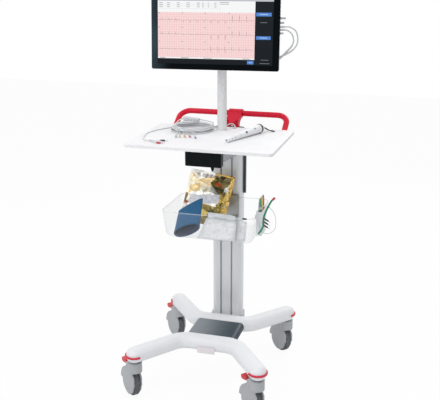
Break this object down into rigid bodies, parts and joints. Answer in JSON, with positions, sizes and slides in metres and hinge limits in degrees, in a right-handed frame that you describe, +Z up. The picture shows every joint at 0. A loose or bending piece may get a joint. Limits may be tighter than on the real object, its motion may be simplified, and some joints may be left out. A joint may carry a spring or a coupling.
{
  "type": "ecg recorder on a wheeled trolley",
  "caption": "Ward ECG recorder on a castered trolley: tilting touch monitor on a post, worktop with patient leads and handset, push handle, accessory basket and braked swivel casters.",
  "frame": {"origin": "on the floor, midway between the left and right casters, on the line that the post and column stand behind", "axes": "+Z up, +X to the right of someone facing the screen, +Y to the rear, where the column and the push handle are"},
  "size_m": [0.6854, 0.7205, 1.706],
  "materials": {
    "beam_white": "satin powder coat",
    "cast_grey": "cast, painted",
    "saddle_dark": "gloss moulded",
    "bumper_red": "soft matt",
    "bright_steel": "plated",
    "caster_grey": "moulded nylon",
    "wheel_core": "moulded nylon",
    "tyre_dark": "smooth tread",
    "pedal_red": "moulded nylon",
    "column_silver": "fine brushed and anodised",
    "trim_dark": "moulded",
    "bracket_grey": "satin powder coat",
    "top_white": "satin moulded board",
    "box_black": "fine texture",
    "handle_red": "gloss powder coat",
    "post_white": "satin powder coat",
    "case_white": "satin moulded",
    "screen_glass": "lit display under glass",
    "cable_grey": "moulded",
    "clear_plastic": "clear moulded plastic",
    "hook_steel": "satin powder coat",
    "gold_foil": "creased metallised foil",
    "cuff_fabric": "woven nylon",
    "paper_white": "paper and film",
    "rack_white": "moulded",
    "clamp_pale": "moulded",
    "clamp_green": "moulded",
    "clamp_yellow": "moulded",
    "clamp_red": "moulded",
    "handset_white": "satin moulded",
    "handset_black": "moulded",
    "cord_black": "braided",
    "lead_grey": "soft jacket",
    "plug_body": "moulded"
  },
  "bodies": {
    "fork_fl": {"housing_fl": "caster_grey", "axle_fl": "bright_steel"},
    "wheel_fl": {"hub_fl": "wheel_core", "tyre_fl": "tyre_dark"},
    "brake_fl": {"pedal_fl": "pedal_red"},
    "fork_fr": {"housing_fr": "caster_grey", "axle_fr": "bright_steel"},
    "wheel_fr": {"hub_fr": "wheel_core", "tyre_fr": "tyre_dark"},
    "brake_fr": {"pedal_fr": "pedal_red"},
    "fork_rl": {"housing_rl": "caster_grey", "axle_rl": "bright_steel"},
    "wheel_rl": {"hub_rl": "wheel_core", "tyre_rl": "tyre_dark"},
    "brake_rl": {"pedal_rl": "pedal_red"},
    "fork_rr": {"housing_rr": "caster_grey", "axle_rr": "bright_steel"},
    "wheel_rr": {"hub_rr": "wheel_core", "tyre_rr": "tyre_dark"},
    "brake_rr": {"pedal_rr": "pedal_red"},
    "monitor": {"monitor_back": "case_white", "monitor_bezel": "case_white", "screen_panel": "screen_glass", "monitor_cables": "cable_grey", "tilt_head": "post_white"},
    "monitor_arm": {"swivel_head": "post_white"},
    "press_button": {"handset_button": "handset_black"},
    "lever_green": {"clamp_lever_green": "clamp_green"},
    "lever_yellow": {"clamp_lever_yellow": "clamp_yellow"},
    "lever_red": {"clamp_lever_red": "clamp_red"},
    "trolley": {"front_beam": "beam_white", "rear_beam": "beam_white", "base_frame": "cast_grey", "saddle_cover": "saddle_dark", "bumper_rings": "bumper_red", "caster_stems": "bright_steel", "column": "column_silver", "column_trim": "trim_dark", "worktop_console": "bracket_grey", "worktop": "top_white", "screws": "bright_steel", "power_box": "box_black", "handle_tube": "handle_red", "handle_bracket": "handle_red", "post": "post_white", "basket": "clear_plastic", "basket_hook": "hook_steel", "foil_pouch": "gold_foil", "cuff_roll": "cuff_fabric", "sterile_packs": "paper_white", "electrode_rack": "rack_white", "clamp_arms": "clamp_pale", "handset_body": "handset_white", "handset_band": "handset_black", "wrist_cord": "cord_black", "patient_coil": "lead_grey", "patient_trunk": "lead_grey", "lead_fittings": "plug_body", "lead_tails": "lead_grey", "lead_loop": "lead_grey"}
  },
  "joints": [
    {"name": "swivel_fl", "type": "hinge", "parent": "trolley", "child": "fork_fl", "pos_m": [-0.27, -0.335, 0.15], "axis": [0, 0, 1], "continuous": true},
    {"name": "roll_fl", "type": "hinge", "parent": "fork_fl", "child": "wheel_fl", "pos_m": [-0.29779, -0.30908, 0.0625], "axis": [-0.682, -0.7314, 0], "continuous": true},
    {"name": "pedal_fl", "type": "hinge", "parent": "fork_fl", "child": "brake_fl", "pos_m": [-0.31827, -0.28999, 0.15], "axis": [-0.682, -0.7314, 0], "range_deg": [0, 15]},
    {"name": "swivel_fr", "type": "hinge", "parent": "trolley", "child": "fork_fr", "pos_m": [0.27, -0.335, 0.15], "axis": [0, 0, 1], "continuous": true},
    {"name": "roll_fr", "type": "hinge", "parent": "fork_fr", "child": "wheel_fr", "pos_m": [0.24221, -0.30908, 0.0625], "axis": [-0.682, -0.7314, 0], "continuous": true},
    {"name": "pedal_fr", "type": "hinge", "parent": "fork_fr", "child": "brake_fr", "pos_m": [0.22173, -0.28999, 0.15], "axis": [-0.682, -0.7314, 0], "range_deg": [0, 15]},
    {"name": "swivel_rl", "type": "hinge", "parent": "trolley", "child": "fork_rl", "pos_m": [-0.27, 0.254, 0.15], "axis": [0, 0, 1], "continuous": true},
    {"name": "roll_rl", "type": "hinge", "parent": "fork_rl", "child": "wheel_rl", "pos_m": [-0.29779, 0.27992, 0.0625], "axis": [-0.682, -0.7314, 0], "continuous": true},
    {"name": "pedal_rl", "type": "hinge", "parent": "fork_rl", "child": "brake_rl", "pos_m": [-0.31827, 0.29901, 0.15], "axis": [-0.682, -0.7314, 0], "range_deg": [0, 15]},
    {"name": "swivel_rr", "type": "hinge", "parent": "trolley", "child": "fork_rr", "pos_m": [0.27, 0.254, 0.15], "axis": [0, 0, 1], "continuous": true},
    {"name": "roll_rr", "type": "hinge", "parent": "fork_rr", "child": "wheel_rr", "pos_m": [0.24221, 0.27992, 0.0625], "axis": [-0.682, -0.7314, 0], "continuous": true},
    {"name": "pedal_rr", "type": "hinge", "parent": "fork_rr", "child": "brake_rr", "pos_m": [0.22173, 0.29901, 0.15], "axis": [-0.682, -0.7314, 0], "range_deg": [0, 15]},
    {"name": "monitor_swivel", "type": "hinge", "parent": "trolley", "child": "monitor_arm", "pos_m": [0, 0.075, 1.52], "axis": [0, 0, 1], "range_deg": [-45, 45]},
    {"name": "monitor_tilt", "type": "hinge", "parent": "monitor_arm", "child": "monitor", "pos_m": [0.0046, 0.03124, 1.54], "axis": [0.9945, 0.1045, 0], "range_deg": [-10, 12]},
    {"name": "button_press", "type": "slide", "parent": "trolley", "child": "press_button", "axis": [-0.704, 0.3037, -0.642], "range_m": [0, 0.0015], "stiffness_N_per_m": 400},
    {"name": "squeeze_green", "type": "hinge", "parent": "trolley", "child": "lever_green", "pos_m": [0.2167, -0.113, 0.82], "axis": [0, 1, 0], "range_deg": [0, 5], "stiffness_Nm_per_rad": 0.4, "springref_deg": -11.46},
    {"name": "squeeze_yellow", "type": "hinge", "parent": "trolley", "child": "lever_yellow", "pos_m": [0.2167, -0.09, 0.82], "axis": [0, 0.9962, -0.0872], "range_deg": [0, 5], "stiffness_Nm_per_rad": 0.4, "springref_deg": -11.46},
    {"name": "squeeze_red", "type": "hinge", "parent": "trolley", "child": "lever_red", "pos_m": [0.2167, -0.067, 0.82], "axis": [0, 0.9848, -0.1736], "range_deg": [0, 5], "stiffness_Nm_per_rad": 0.4, "springref_deg": -11.46}
  ]
}
